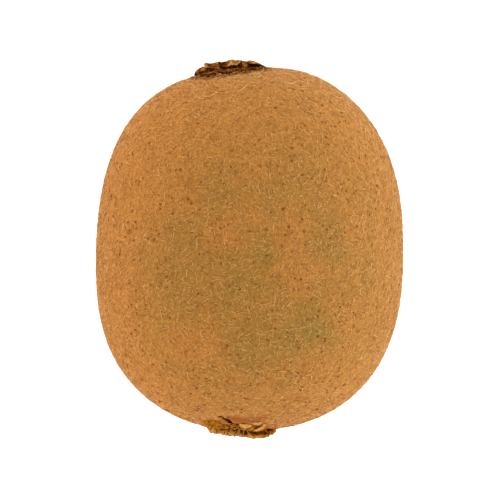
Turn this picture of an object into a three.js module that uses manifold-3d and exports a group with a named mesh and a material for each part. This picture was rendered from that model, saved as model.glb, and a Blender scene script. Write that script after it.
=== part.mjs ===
// A whole kiwi fruit lying on its side, as picked: the hairy berry, the dried calyx round the
// stem scar at one end, and the dried styles and stamens of the flower at the other.
// Millimetres, +Z up, stem end towards +Y. The origin is under the middle of the fruit, on the
// surface that it lies on.
import * as THREE from "three";
import { mergeVertices } from "three/addons/utils/BufferGeometryUtils.js";
import Module from "manifold-3d";

const wasm = await Module();
wasm.setup();

// Size and form of the berry
const bodyLength = 62.0;
const bodyWidth = 53.1;
const upperDepth = 25.0; // from the middle of the berry up to its skin
const lowerDepth = 24.6; // from the middle down to its skin, before it is flattened
const restDepth = 0.35; // how much the berry's own weight flattens it where it lies
const endFullness = 2.42; // 2 is an ellipse lengthways, and more has squarer shoulders
const girthFullness = 2.08; // the same for the section across the berry
const facesRound = 64;
const facesAlong = 40;
const poleCrowding = 0.25; // how much closer the rings of faces lie at the two ends

// Where the ends sit off the long axis, and the slope that each faces with, across (x) and up (z)
const stemOffset = new THREE.Vector3(-3.1, 0, -1.2);
const blossomOffset = new THREE.Vector3(-1.7, 0, 4.8);
const stemSlope = { x: -0.09, z: 0 };
const blossomSlope = { x: -0.09, z: 0.31 };

// Swellings and flats: where the middle of each lies, its height, and how far it spreads
const swellings = [
  { at: [8, 30, 4], height: 0.55, spread: 9 }, // the higher shoulder beside the stem
  { at: [-13, 28, -6], height: -0.25, spread: 8 }, // the lower shoulder on its other side
  { at: [23, -16, 4], height: 0.2, spread: 11 },
  { at: [-23, -17, 0], height: 0.45, spread: 10 }, // the fuller flank by the blossom end
  { at: [-25, 12, 0], height: -0.4, spread: 12 }, // the flatter flank by the stem end
  { at: [6, 8, 25], height: -0.35, spread: 13 }, // a broad flat on top
  { at: [-14, -6, -20], height: 0.35, spread: 12 },
  { at: [17, 14, -17], height: 0.3, spread: 11 },
];
const stemHollow = { depth: 0.9, spread: 6.2 };
const blossomMound = { height: 0.5, spread: 10 };
const blossomHollow = { depth: 1.3, spread: 4.6 };

// The dried calyx: a woody cup where the stalk broke off, with five thick sepals
const clearance = 0.3; // between the berry and what sits on it
const cupRadius = 3.3;
const cupHeight = 1.5;
const cupRoot = 2; // how far down it is drawn, before the berry's space is cut away
const cupTaper = 0.4;
const rimRounding = 0.35;
const rimInset = 0.65;
const scarRadius = 2.1;
const scarDepth = 0.85;
const scarSlope = 0.35;
const pithRadius = 0.6;
const pithHeight = 0.35;
const cupWaves = [
  { height: 0.06, count: 3, shift: 0.7 },
  { height: 0.04, count: 5, shift: 0 },
];

const sepalStart = 2.2; // how far from the middle of the cup a sepal starts
const sepalThickness = 1.15;
const sepalSink = 0.15; // how far its middle line starts below the foot of the cup
const sepalFullness = 0.16; // 0 is an oval flap, and more has a blunter tip
const sepalArch = 0.6 * Math.PI; // how far round an arch it rises before it has to droop
const sepalCupping = 0.4; // how far its two edges stand above its middle line
const sepalWave = { height: 0.22, tip: 0.15, perMm: 2.7 };
const sepals = [
  { turn: -20, length: 4.5, width: 5.4, lift: 1.95, curl: 1.55 },
  { turn: -92, length: 3.7, width: 4.6, lift: 2.35, curl: 0.9 },
  { turn: -164, length: 4.4, width: 4.6, lift: 1.75, curl: 1.3 },
  { turn: -236, length: 3.9, width: 5.2, lift: 2.5, curl: 0.9 },
  { turn: -308, length: 4.1, width: 4.8, lift: 2.3, curl: 0.9 },
];

// The dried flower parts: a lumpy ring of stamens round a pit, with flat withered styles in it
const ringRadius = 6.1;
const ringCrest = 4.3; // how far the crest of the ring is from the middle
const ringWidth = 1.45;
const ringHeight = 1.05;
const pitFloor = 0.85;
const pitRadius = 1.5; // the ring starts to rise inside this
const ringEdge = 0.25; // how far below the foot of the crest its outer edge lies
const ringRoot = 2.2; // how far down it is drawn, before the berry's space is cut away
const edgeSharpness = 12;
const rootFullness = 4;
const lobeWaves = [
  { height: 0.2, count: 7, shift: 3.0 },
  { height: 0.14, count: 3, shift: -2.9 },
];
const crestWaves = [{ height: 0.3, count: 4, shift: 1 }];
const edgeWaves = [{ height: 0.04, count: 7, shift: 3.0 }];
const grain = { height: 0.16, perMm: 5, twist: 3, count: 11 };

const styleCount = 13;
const styleThickness = 0.65;
const styleWidth = 1.15;
const styleLength = 3.3;
const styleVariance = 1.1; // how much longer or shorter than that one can be
const styleRoot = 0.9; // how far from the middle of the pit a style starts
const styleTop = 1.65; // the highest that the middle line of one lies in the ring
const styleBend = 0.35;
const styleLift = 0.25;

const halfLength = bodyLength / 2;
const halfWidth = bodyWidth / 2;
const goldenTurn = Math.PI * (3 - Math.sqrt(5));

// A bump that is 1 at its middle and fades to nothing with distance
const fade = (distance, spread) => Math.exp(-((distance / spread) ** 2));

// Adds up the waves of an uneven form at one turn round it
const waved = (waves, turn) =>
  waves.reduce(
    (sum, { height, count, shift }) => sum + height * Math.sin(count * turn + shift),
    0,
  );

// A value from -1 to 1 that differs from one piece to the next
const varied = (number, step) => Math.sin(number * step);

// The berry's plain rounded form: how far its skin is from its middle in a direction
function plainRadius(direction) {
  const depth = direction.z > 0 ? upperDepth : lowerDepth;
  const across =
    (Math.abs(direction.x / halfWidth) ** girthFullness +
      Math.abs(direction.z / depth) ** girthFullness) **
    (1 / girthFullness);
  const along = Math.abs(direction.y / halfLength);
  return (across ** endFullness + along ** endFullness) ** (-1 / endFullness);
}

// Leans the long axis so that the two ends lie off it
function leant(direction) {
  return direction
    .clone()
    .addScaledVector(stemOffset, ((1 + direction.y) / 2) ** 4 / halfLength)
    .addScaledVector(blossomOffset, ((1 - direction.y) / 2) ** 4 / halfLength)
    .normalize();
}

const plainPoint = (direction) =>
  direction.clone().multiplyScalar(plainRadius(direction));
const stemMiddle = plainPoint(leant(new THREE.Vector3(0, 1, 0)));
const blossomMiddle = plainPoint(leant(new THREE.Vector3(0, -1, 0)));

// A point of the skin for a direction from the middle, with its swellings and end hollows
function skinPoint(direction, outwards = 0) {
  const leaning = leant(direction);
  const point = plainPoint(leaning);
  let raised = outwards;
  for (const { at, height, spread } of swellings)
    raised += height * fade(point.distanceTo(new THREE.Vector3(...at)), spread);
  const toStem = point.distanceTo(stemMiddle);
  const toBlossom = point.distanceTo(blossomMiddle);
  raised -= stemHollow.depth * fade(toStem, stemHollow.spread);
  raised += blossomMound.height * fade(toBlossom, blossomMound.spread);
  raised -= blossomHollow.depth * fade(toBlossom, blossomHollow.spread);
  point.addScaledVector(leaning, raised);
  point.z = Math.max(point.z, restDepth - lowerDepth);
  return point;
}

// Moves every vertex of a closed three.js geometry, and joins the ones that meet
function reshaped(geometry, move) {
  geometry.deleteAttribute("normal");
  geometry.deleteAttribute("uv");
  const place = geometry.attributes.position;
  for (let i = 0; i < place.count; i++) {
    const moved = move(new THREE.Vector3().fromBufferAttribute(place, i));
    place.setXYZ(i, moved.x, moved.y, moved.z);
  }
  return mergeVertices(geometry, 1e-3);
}

function meshOf(geometry) {
  return new wasm.Mesh({
    numProp: 3,
    vertProperties: geometry.attributes.position.array,
    triVerts: new Uint32Array(geometry.index.array),
  });
}

// A solid of a closed geometry, with its faces turned outwards
function solidOf(geometry) {
  const turned = geometry.clone();
  let solid = new wasm.Manifold(meshOf(turned));
  if (solid.volume() < 0) {
    turned.index.array.reverse();
    solid = new wasm.Manifold(meshOf(turned));
  }
  return solid;
}

// Joining can seal a small hollow or leave a scrap, so only the largest body is kept
function wholeOf(solid) {
  const bodies = solid.decompose();
  return bodies.reduce((best, body) => (body.volume() > best.volume() ? body : best));
}

function geometryOf(solid) {
  const mesh = wholeOf(solid).getMesh();
  const geometry = new THREE.BufferGeometry();
  const places = new THREE.BufferAttribute(mesh.vertProperties, mesh.numProp);
  geometry.setAttribute("position", places);
  geometry.setIndex(new THREE.BufferAttribute(mesh.triVerts, 1));
  geometry.computeVertexNormals();
  return geometry;
}

// The berry as a sphere drawn out to the skin
function berryGeometry(outwards = 0) {
  const sphere = new THREE.SphereGeometry(1, facesRound, facesAlong);
  return reshaped(sphere, (point) => {
    const polar = Math.acos(THREE.MathUtils.clamp(point.y, -1, 1));
    const crowded = polar - poleCrowding * Math.sin(2 * polar);
    const girth = Math.hypot(point.x, point.z) || 1;
    const spread = Math.sin(crowded) / girth;
    const direction = new THREE.Vector3(
      point.x * spread,
      Math.cos(crowded),
      point.z * spread,
    );
    return skinPoint(direction, outwards);
  });
}

// A frame on the skin: its origin at an end of the berry, its +Z straight out of it
function endFrame(end, slope) {
  const frame = new THREE.Group();
  const out = new THREE.Vector3(slope.x, end, slope.z).normalize();
  const across = new THREE.Vector3(1, 0, 0).addScaledVector(out, -out.x).normalize();
  const up = new THREE.Vector3().crossVectors(out, across);
  frame.quaternion.setFromRotationMatrix(
    new THREE.Matrix4().makeBasis(across, up, out),
  );
  frame.position.copy(skinPoint(new THREE.Vector3(0, end, 0)));
  frame.updateMatrix();
  return frame;
}

// The berry's own space in the frame of an end, with the clearance round it
function berryCutter(frame) {
  const geometry = berryGeometry(clearance);
  geometry.applyMatrix4(frame.matrix.clone().invert());
  return solidOf(geometry);
}

// The woody cup of the calyx, with the round scar that the stalk left
function cupSolid() {
  const scarFloor = cupHeight - scarDepth;
  const profile = [
    [0, -cupRoot],
    [cupRadius - cupTaper, -cupRoot],
    [cupRadius, 0],
    [cupRadius - rimRounding / 2, cupHeight - rimRounding],
    [cupRadius - rimInset, cupHeight],
    [scarRadius, cupHeight - rimRounding / 2],
    [scarRadius - scarSlope, scarFloor],
    [pithRadius + scarSlope, scarFloor],
    [pithRadius, scarFloor + pithHeight],
    [0, scarFloor + pithHeight],
  ];
  const lathe = new THREE.LatheGeometry(
    profile.map(([radius, height]) => new THREE.Vector2(radius, height)),
    28,
  );
  lathe.rotateX(Math.PI / 2);
  const woody = reshaped(lathe, (point) => {
    const uneven = 1 + waved(cupWaves, Math.atan2(point.y, point.x));
    return new THREE.Vector3(point.x * uneven, point.y * uneven, point.z);
  });
  return solidOf(woody);
}

// One sepal: a thick blunt flap that rises out of the cup, spreads, and turns down at its tip
function sepalSolid({ turn, length, width, lift, curl }, number) {
  const flap = reshaped(new THREE.SphereGeometry(1, 18, 14), (point) => {
    const share = (1 + point.y) / 2;
    const fuller = Math.max(1 - point.y ** 2, 1e-9) ** -sepalFullness;
    const across = (point.x * fuller * width) / 2;
    const rise = lift * Math.sin(share * sepalArch) - curl * share ** 3 - sepalSink;
    const wave = Math.sin(sepalWave.perMm * across + number);
    const cupped = sepalCupping * ((2 * across) / width) ** 2;
    const middle = rise + share * (cupped + sepalWave.height * wave);
    return new THREE.Vector3(
      sepalStart + length * share + sepalWave.tip * wave,
      across,
      middle + (point.z * fuller * sepalThickness) / 2,
    );
  });
  flap.rotateZ(THREE.MathUtils.degToRad(turn));
  return solidOf(flap);
}

function calyxGeometry(frame) {
  const joined = sepals.reduce(
    (whole, sepal, number) => whole.add(sepalSolid(sepal, number)),
    cupSolid(),
  );
  return geometryOf(joined.subtract(berryCutter(frame)));
}

// How high the ring of dried stamens stands, by distance from its middle and by turn
function stamenHeight(distance, turn) {
  const crest = ringCrest + waved(crestWaves, turn);
  const lobed = ringHeight * (1 + waved(lobeWaves, turn));
  const ring = lobed * fade(distance - crest, ringWidth);
  const rough =
    Math.sin(grain.perMm * distance + grain.twist * turn) * Math.sin(grain.count * turn);
  return pitFloor + (ring + grain.height * rough) * Math.min(distance / pitRadius, 1);
}

// The ring is a sphere pressed to a disc: its upper half is the crest and the pit inside it
function stamenRingSolid() {
  const ring = reshaped(new THREE.SphereGeometry(1, 56, 26), (point) => {
    const turn = Math.atan2(point.z, point.x);
    const polar = Math.acos(THREE.MathUtils.clamp(point.y, -1, 1)) / (Math.PI / 2);
    const share = Math.min(polar, 2 - polar);
    const distance = share * ringRadius * (1 + waved(edgeWaves, turn));
    const edge = share ** edgeSharpness;
    const top = stamenHeight(distance, turn) * (1 - edge) - ringEdge * edge;
    const root = -ringEdge - (ringRoot - ringEdge) * (1 - share ** rootFullness);
    return new THREE.Vector3(
      distance * Math.cos(turn),
      distance * Math.sin(turn),
      polar < 1 ? top : root,
    );
  });
  return solidOf(ring);
}

// One withered style: a flat strip that lies out of the pit and over the ring
function styleSolid(number) {
  const turn = number * goldenTurn;
  const reach = styleLength + styleVariance * varied(number, 2.3);
  const strip = reshaped(new THREE.SphereGeometry(1, 8, 9), (point) => {
    const share = (1 + point.y) / 2;
    const distance = styleRoot + reach * share;
    const bend = styleBend * Math.sin(number * 1.7 + share * Math.PI);
    const bed = Math.min(stamenHeight(distance, turn), styleTop);
    const lift = styleLift * (0.5 + share * varied(number, 4.1));
    return new THREE.Vector3(
      distance,
      (point.x * styleWidth) / 2 + bend,
      bed + lift + (point.z * styleThickness) / 2,
    );
  });
  strip.rotateZ(turn);
  return solidOf(strip);
}

function flowerRemainsGeometry(frame) {
  let joined = stamenRingSolid();
  for (let number = 0; number < styleCount; number++)
    joined = joined.add(styleSolid(number));
  return geometryOf(joined.subtract(berryCutter(frame)));
}

function dryMaterial(colour, roughness) {
  return new THREE.MeshStandardMaterial({ color: colour, roughness, metalness: 0 });
}

function named(name, geometry, material) {
  const mesh = new THREE.Mesh(geometry, material);
  mesh.name = name;
  return mesh;
}

const stemEnd = endFrame(1, stemSlope);
const blossomEnd = endFrame(-1, blossomSlope);

const berry = named(
  "berry",
  geometryOf(solidOf(berryGeometry())),
  dryMaterial("#ba8243", 0.85),
);
stemEnd.add(named("calyx", calyxGeometry(stemEnd), dryMaterial("#6b4420", 0.9)));
blossomEnd.add(
  named("flower_remains", flowerRemainsGeometry(blossomEnd), dryMaterial("#8f6428", 0.9)),
);

const kiwi = new THREE.Group();
kiwi.add(berry, stemEnd, blossomEnd);

// Brings the origin under the middle of the fruit, on the surface
kiwi.updateMatrixWorld(true);
const box = new THREE.Box3().setFromObject(kiwi, true);
const middle = box.getCenter(new THREE.Vector3());
kiwi.position.set(-middle.x, -middle.y, -box.min.z);

export default kiwi;
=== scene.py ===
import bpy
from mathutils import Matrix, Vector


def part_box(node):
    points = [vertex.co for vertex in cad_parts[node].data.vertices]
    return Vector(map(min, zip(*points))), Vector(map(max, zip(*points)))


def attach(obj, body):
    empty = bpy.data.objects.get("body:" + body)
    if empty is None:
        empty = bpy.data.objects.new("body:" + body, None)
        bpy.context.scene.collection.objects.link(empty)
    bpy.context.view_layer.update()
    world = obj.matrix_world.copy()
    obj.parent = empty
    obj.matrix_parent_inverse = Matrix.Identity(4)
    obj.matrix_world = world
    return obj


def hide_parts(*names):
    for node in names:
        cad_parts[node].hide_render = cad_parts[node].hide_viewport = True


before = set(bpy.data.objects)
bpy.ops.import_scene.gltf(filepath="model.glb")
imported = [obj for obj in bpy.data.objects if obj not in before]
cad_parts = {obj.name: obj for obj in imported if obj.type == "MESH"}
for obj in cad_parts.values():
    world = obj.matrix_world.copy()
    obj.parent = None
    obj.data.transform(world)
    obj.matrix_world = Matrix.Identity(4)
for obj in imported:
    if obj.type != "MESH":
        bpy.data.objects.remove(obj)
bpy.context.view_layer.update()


# The camera
# The fruit lies on its side, and a long lens looks straight down on it from a metre, with the
# stem end at the top of the picture. The picture takes in 86 mm at the fruit's widest.
import bpy

MM = 0.001
picture_width = 86.05 * MM
lens_length = 400.0
sensor_width = 36.0
widest_height = 24.6 * MM
aim = (0.09 * MM, -0.05 * MM)
nearest_seen = 10 * MM
farthest_seen = 20.0


def placed(name, data):
    """A new object of the scene."""
    made = bpy.data.objects.new(name, data)
    bpy.context.scene.collection.objects.link(made)
    return made


camera_data = bpy.data.cameras.new("camera")
camera_data.lens = lens_length
camera_data.sensor_width = sensor_width
camera_data.clip_start = nearest_seen
camera_data.clip_end = farthest_seen
camera = placed("camera", camera_data)
camera.location = (*aim, widest_height + picture_width * lens_length / sensor_width)
bpy.context.scene.camera = camera


# The studio
# The fruit lies on a broad sheet of white acrylic that glows a little from below, between four
# soft boxes that stand low round it. The one on the right is the strongest.
import math
from functools import partial

from mathutils import Matrix, Vector

floor_half = 2.0
floor_colour = "#f4f3f1"
floor_glow = 0.30
air_colour = "#ffffff"
air_light = 0.78
soft_box_side = 0.34
soft_box_distance = 0.42
soft_box_height = 0.195
soft_boxes = {"right": (0, 2.2), "back": (90, 1.35), "left": (180, 1.85), "front": (270, 1.4)}


def linear(code):
    """An sRGB hex colour as the linear colour that a socket takes."""
    parts = [int(code[i : i + 2], 16) / 255 for i in (1, 3, 5)]
    return (*(p / 12.92 if p <= 0.04045 else ((p + 0.055) / 1.055) ** 2.4 for p in parts), 1.0)


def add(tree, kind, links=(), out=None, **settings):
    """Adds a node to a tree, sets it, fills its inputs with values or links, gives an output."""
    made = tree.nodes.new(kind)
    for name, value in settings.items():
        setattr(made, name, value)
    for name, value in dict(links).items():
        if isinstance(name, int):
            socket = made.inputs[name]
        else:
            socket = next(s for s in made.inputs if s.enabled and s.name == name)
        if isinstance(value, bpy.types.NodeSocket):
            tree.links.new(value, socket)
        else:
            socket.default_value = value
    return next((s for s in made.outputs if s.enabled and out in (None, s.name)), made)


def finish(name, **sockets):
    """A new material of one Principled shader with plain values, and what adds nodes to it."""
    material = bpy.data.materials.new(name)
    material.use_nodes = True
    material.node_tree.nodes.clear()
    put = partial(add, material.node_tree)
    shader = put("ShaderNodeBsdfPrincipled").node
    put("ShaderNodeOutputMaterial", {"Surface": shader.outputs[0]})
    for socket, value in sockets.items():
        value = linear(value) if isinstance(value, str) else value
        shader.inputs[socket.replace("_", " ")].default_value = value
    return material, shader, put


# Cast acrylic, polished: an even white with a faint glow, so it throws light up under the fruit
acrylic, _, _ = finish(
    "white_acrylic",
    Base_Color=floor_colour,
    Roughness=0.6,
    Emission_Color=floor_colour,
    Emission_Strength=floor_glow,
)

floor_mesh = bpy.data.meshes.new("floor")
corners = [(-floor_half, -floor_half, 0), (floor_half, -floor_half, 0)]
corners += [(floor_half, floor_half, 0), (-floor_half, floor_half, 0)]
floor_mesh.from_pydata(corners, [], [(0, 1, 2, 3)])
floor_mesh.materials.append(acrylic)
floor = placed("floor", floor_mesh)

world = bpy.data.worlds.new("soft white room")
world.use_nodes = True
background = world.node_tree.nodes["Background"].inputs
background["Color"].default_value = linear(air_colour)
background["Strength"].default_value = air_light
bpy.context.scene.world = world

for side, (turn, power) in soft_boxes.items():
    light_data = bpy.data.lights.new("soft_box_" + side, "AREA")
    light_data.size = soft_box_side
    light_data.energy = power
    light = placed("soft_box_" + side, light_data)
    turned = math.radians(turn)
    light.location = Vector((math.cos(turned), math.sin(turned), 0)) * soft_box_distance
    light.location.z = soft_box_height
    towards = Vector((0, 0, widest_height)) - light.location
    light.rotation_euler = towards.to_track_quat("-Z", "Y").to_euler()

bpy.context.scene.view_settings.view_transform = "Standard"


# The skin
# Thin brown skin, dull and a little leathery, that grew with the berry. Close up it is grained
# with low bumps, with greener patches where the flesh shows through and rusty brown specks.
import bmesh

same_spot = 1e-6
far_off = 100 * MM
paired_angle = math.radians(40)
crevice = [(-5.0, -28.6), (-4.2, -28.9), (-3.5, -29.2), (-2.7, -29.5), (-1.8, -29.8)]
crevice_reach = 4.5 * MM
rubbed_rim = [(-3.0, -28.7), (-1.5, -28.9), (0.0, -29.0), (1.5, -28.9), (2.5, -28.6)]
ragged_size = 0.7 * MM
skin_grains = {
    "broad": (11 * MM, 2.0, 0.5),
    "mottle": (2.2 * MM, 3.0, 0.5),
    "fine": (0.55 * MM, 2.0, 0.6),
    "pores": (0.2 * MM, 1.0, 0.5),
}
freckle_cell = 1.9 * MM
upper_middle = (4 * MM, -6 * MM, 49 * MM)
skin_brown = "#8c571f"
skin_layers = {
    "tan": "#9c6429",
    # painted shade: a scale that makes the upper side a little darker
    "worn": None,
    "green": "#74581f",
    "grain": None,
    "freckled": "#69370e",
    "bare": "#7c4008",
    # painted shade: nearly black at the foot of the sepals and in the crevice
    "dark": "#3c1c05",
}
# Painted light: the skin and hairs are tinted paler and yellower towards +X, where the strongest
# soft box stands
dim_side_tint = (1.005, 1.01, 1.04, 1.0)
lit_side_tint = (0.985, 1.1, 1.28, 1.0)
dim_side_from, lit_side_from = -24 * MM, 20 * MM


def closed(shape, mesh):
    """Writes a shape that is done to a mesh."""
    shape.to_mesh(mesh)
    shape.free()
    return mesh


def merged(node):
    """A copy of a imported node's mesh with its corners joined and its triangles paired up."""
    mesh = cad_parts[node].data.copy()
    mesh.materials.clear()
    shape = bmesh.new()
    shape.from_mesh(mesh)
    bmesh.ops.remove_doubles(shape, verts=shape.verts, dist=same_spot)
    bmesh.ops.join_triangles(
        shape,
        faces=shape.faces,
        angle_face_threshold=paired_angle,
        angle_shape_threshold=paired_angle,
    )
    return closed(shape, mesh)


def finer(mesh, middle, reach, cuts):
    """Cuts the edges of a mesh near a place, so that small forms can be drawn there."""
    shape = bmesh.new()
    shape.from_mesh(mesh)
    near = [
        edge
        for edge in shape.edges
        if all((corner.co - middle).length < reach for corner in edge.verts)
    ]
    bmesh.ops.subdivide_edges(shape, edges=near, cuts=cuts, use_grid_fill=True)
    return closed(shape, mesh)


def seen(shape, x, y):
    """Where one that looks straight down at x, y, in millimetres, sees a shape, if at all."""
    above = Vector((x * MM, y * MM, far_off))
    hit, point, normal, _ = shape.ray_cast(above, Vector((0, 0, -1)))
    return (point, normal) if hit else None


def marks(name, points, joined):
    """A helper of loose points, or of points joined in a line, that a tree measures from."""
    mesh = bpy.data.meshes.new(name)
    edges = [(i, i + 1) for i in range(len(points) - 1)] if joined else []
    mesh.from_pydata(points, edges, [])
    return placed(name, mesh)


def new_tree(name, sizes):
    """A tree of geometry nodes: itself, an input for each size, and what adds nodes to it."""
    tree = bpy.data.node_groups.new(name, "GeometryNodeTree")
    tree.interface.new_socket("Geometry", in_out="OUTPUT", socket_type="NodeSocketGeometry")
    tree.interface.new_socket("Geometry", in_out="INPUT", socket_type="NodeSocketGeometry")
    kinds = {float: "Float", int: "Int", str: "String", tuple: "Vector"}
    for label, size in sizes.items():
        kind = kinds.get(type(size)) or type(size).__name__
        tree.interface.new_socket(label, in_out="INPUT", socket_type="NodeSocket" + kind)
    put = partial(add, tree)
    return tree, put("NodeGroupInput").node.outputs, put


def distance_to(put, target, element):
    """How far a tree's surface is from the nearest face, edge or point of an object."""
    shape = put("GeometryNodeObjectInfo", {"Object": target}, out="Geometry")
    return put("GeometryNodeProximity", {"Geometry": shape}, out="Distance", target_element=element)


def end_tree(put, geometry, material):
    """The end of a tree: what would reach below the floor is pressed flat on it, then dressed."""
    above = put(
        "ShaderNodeVectorMath",
        {0: put("GeometryNodeInputPosition"), 1: (-1, -1, 0)},
        operation="MAXIMUM",
    )
    settled = put("GeometryNodeSetPosition", {"Geometry": geometry, "Position": above})
    smooth = put("GeometryNodeSetShadeSmooth", {"Geometry": settled})
    whole = put("GeometryNodeRealizeInstances", {"Geometry": smooth})
    dressed = put("GeometryNodeSetMaterial", {"Geometry": whole, "Material": material})
    put("NodeGroupOutput", {"Geometry": dressed})


def grown(name, mesh, tree, sizes, voxel=None):
    """A plain mesh object: what a tree of nodes makes of a mesh, remeshed first if asked."""
    maker = placed(name + "_maker", mesh)
    if voxel:
        remesh = maker.modifiers.new("remesh", "REMESH")
        remesh.mode = "VOXEL"
        remesh.voxel_size = voxel
    growth = maker.modifiers.new("growth", "NODES")
    growth.node_group = tree
    for item in tree.interface.items_tree:
        if item.in_out == "INPUT" and item.name in sizes:
            growth[item.identifier] = sizes[item.name]
    depsgraph = bpy.context.evaluated_depsgraph_get()
    made = bpy.data.meshes.new_from_object(
        maker.evaluated_get(depsgraph), preserve_all_data_layers=True, depsgraph=depsgraph
    )
    bpy.data.objects.remove(maker)
    return placed(name, made)


def wire(shader, **sources):
    """Links the outputs of other nodes to a shader's sockets."""
    for socket, source in sources.items():
        shader.id_data.links.new(source, shader.inputs[socket.replace("_", " ")])


def sided(put, place, colour):
    """A colour made a little yellower and paler towards +X, painted light of the brighter side."""
    across = put("ShaderNodeSeparateXYZ", {"Vector": place}, out="X")
    share = put(
        "ShaderNodeMapRange", {"Value": across, "From Min": dim_side_from, "From Max": lit_side_from}
    )
    tint = put(
        "ShaderNodeMix",
        {"Factor": share, "A": dim_side_tint, "B": lit_side_tint},
        out="Result",
        data_type="RGBA",
    )
    return put("ShaderNodeVectorMath", {0: colour, 1: tint}, operation="MULTIPLY")


# Kiwi skin: dull, a little waxy, mottled at three scales, and freckled with rusty specks
kiwi_skin, skin_shader, put = finish(
    "kiwi_skin",
    Roughness=0.7,
    Specular_IOR_Level=0.07,
    Sheen_Weight=0.06,
    Sheen_Roughness=0.45,
    Sheen_Tint="#d89c50",
)
skin_place = put("ShaderNodeTexCoord", out="Object")
grain = {
    name: put(
        "ShaderNodeTexNoise",
        {"Vector": skin_place, "Scale": 1 / size, "Detail": detail, "Roughness": rough},
    )
    for name, (size, detail, rough) in skin_grains.items()
}
freckles = put(
    "ShaderNodeTexVoronoi", {"Vector": skin_place, "Scale": 1 / freckle_cell}
).node.outputs
upper_offset = put("ShaderNodeVectorMath", {0: skin_place, 1: upper_middle}, operation="SUBTRACT")
upper_distance = put("ShaderNodeVectorMath", {0: upper_offset}, out="Value", operation="LENGTH")
near = {
    name: put("ShaderNodeAttribute", out="Fac", attribute_name=name)
    for name in ("blossom_distance", "sepal_gap", "rubbed_rim", "crevice")
}
edge = {
    name: put("ShaderNodeMath", {0: rough, 1: amount, 2: near[name]}, operation="MULTIPLY_ADD")
    for name, rough, amount in (
        ("rubbed_rim", grain["mottle"], 0.6), ("crevice", grain["fine"], 0.5)
    )
}
# On the upper side the skin is painted a little darker, as shade, and the flesh shows green in it.
# Freckles half a millimetre across lie in some of their cells. Round the dried flower, and where
# its rim was rubbed bare, the skin is a richer brown. At the foot of the sepals and in the torn
# crevice it is painted nearly black, as shade.
share = {
    name: put(
        "ShaderNodeMapRange",
        {"Value": value, "From Min": start, "From Max": end, "To Min": least, "To Max": most},
        interpolation_type=curve,
    )
    for name, value, start, end, least, most, curve in (
        ("tan", grain["mottle"], 0.3, 0.7, 0, 1, "LINEAR"),
        ("worn", upper_distance, 8 * MM, 30 * MM, 0.97, 1, "SMOOTHSTEP"),
        ("green reach", upper_distance, 31 * MM, 6 * MM, 0, 1, "SMOOTHSTEP"),
        ("green patches", grain["broad"], 0.38, 0.62, 0, 1, "LINEAR"),
        ("grain", grain["fine"], 0.3, 0.7, 0.76, 1.2, "LINEAR"),
        ("freckle", freckles["Distance"], 0.17, 0.09, 0, 1, "SMOOTHSTEP"),
        ("freckle chance", freckles["Color"], 0.35, 0.75, 0, 1, "LINEAR"),
        ("rim", near["blossom_distance"], 3 * MM, 0.8 * MM, 0, 0.7, "SMOOTHSTEP"),
        ("rubbed", edge["rubbed_rim"], 0.3, 1, 0, 1, "LINEAR"),
        ("foot", near["sepal_gap"], 1.3 * MM, 0.3 * MM, 0, 1, "SMOOTHSTEP"),
        ("torn", edge["crevice"], 0.42, 0.62, 0, 1, "LINEAR"),
    )
}
for name, one, other, way in (
    ("green", "green reach", "green patches", "MULTIPLY"),
    ("freckled", "freckle", "freckle chance", "MULTIPLY"),
    ("bare", "rim", "rubbed", "MAXIMUM"),
    ("dark", "foot", "torn", "MAXIMUM"),
):
    share[name] = put("ShaderNodeMath", {0: share[one], 1: share[other]}, operation=way)
colour = linear(skin_brown)
for name, layer in skin_layers.items():
    if layer:
        colour = put(
            "ShaderNodeMix",
            {"Factor": share[name], "A": colour, "B": linear(layer)},
            out="Result",
            data_type="RGBA",
        )
    else:
        colour = put("ShaderNodeVectorMath", {0: colour, "Scale": share[name]}, operation="SCALE")
pore_bump = put(
    "ShaderNodeBump", {"Height": grain["pores"], "Strength": 0.5, "Distance": 0.05 * MM}
)
skin_bump = put(
    "ShaderNodeBump",
    {"Height": grain["fine"], "Strength": 0.5, "Distance": 0.12 * MM, "Normal": pore_bump},
)
wire(skin_shader, Base_Color=sided(put, skin_place, colour), Normal=skin_bump)

# The relief: bumps along the skin's own normal, and a low collar of skin round each end piece
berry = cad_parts["berry"]
crevice_places = [seen(berry, *spot)[0] for spot in crevice]
rubbed_places = [seen(berry, *spot)[0] for spot in rubbed_rim]
skin_sizes = {
    "Levels": 2,
    "Coarse size": 2.6 * MM, "Coarse height": 0.07 * MM,
    "Fine size": 1.1 * MM, "Fine height": 0.04 * MM,
    "Inset": 0.09 * MM,
    "Stem end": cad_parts["calyx"],
    "Stem collar": 0.75 * MM,
    "Stem rise": 0.12 * MM,
    "Stem bare": 2.4 * MM,
    "Blossom end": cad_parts["flower_remains"],
    "Blossom collar": 1.5 * MM,
    "Blossom rise": 0.40 * MM,
    "Blossom bare": 1.4 * MM,
    "Crevice": marks("crevice", crevice_places, joined=True),
    "Crevice width": 0.5 * MM, "Crevice depth": 0.7 * MM,
    "Rubbed rim": marks("rubbed_rim", rubbed_places, joined=True),
    "Rubbed rim width": 1.5 * MM,
    "Material": kiwi_skin,
}
skin_tree, given, put = new_tree("skin relief", skin_sizes)
kept = put("GeometryNodeSubdivisionSurface", {"Mesh": given["Geometry"], "Level": given["Levels"]})
place = put("GeometryNodeInputPosition")
outward = put("GeometryNodeInputNormal", out="Normal")
relief = put("ShaderNodeMath", {0: 0.0, 1: given["Inset"]}, operation="SUBTRACT")
for label in ("Coarse", "Fine"):
    frequency = put("ShaderNodeMath", {0: 1.0, 1: given[label + " size"]}, operation="DIVIDE")
    bumps = put("ShaderNodeTexNoise", {"Vector": place, "Scale": frequency})
    centred = put("ShaderNodeMath", {0: bumps, 1: 0.5}, operation="SUBTRACT")
    relief = put(
        "ShaderNodeMath",
        {0: centred, 1: given[label + " height"], 2: relief},
        operation="MULTIPLY_ADD",
    )
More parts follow.
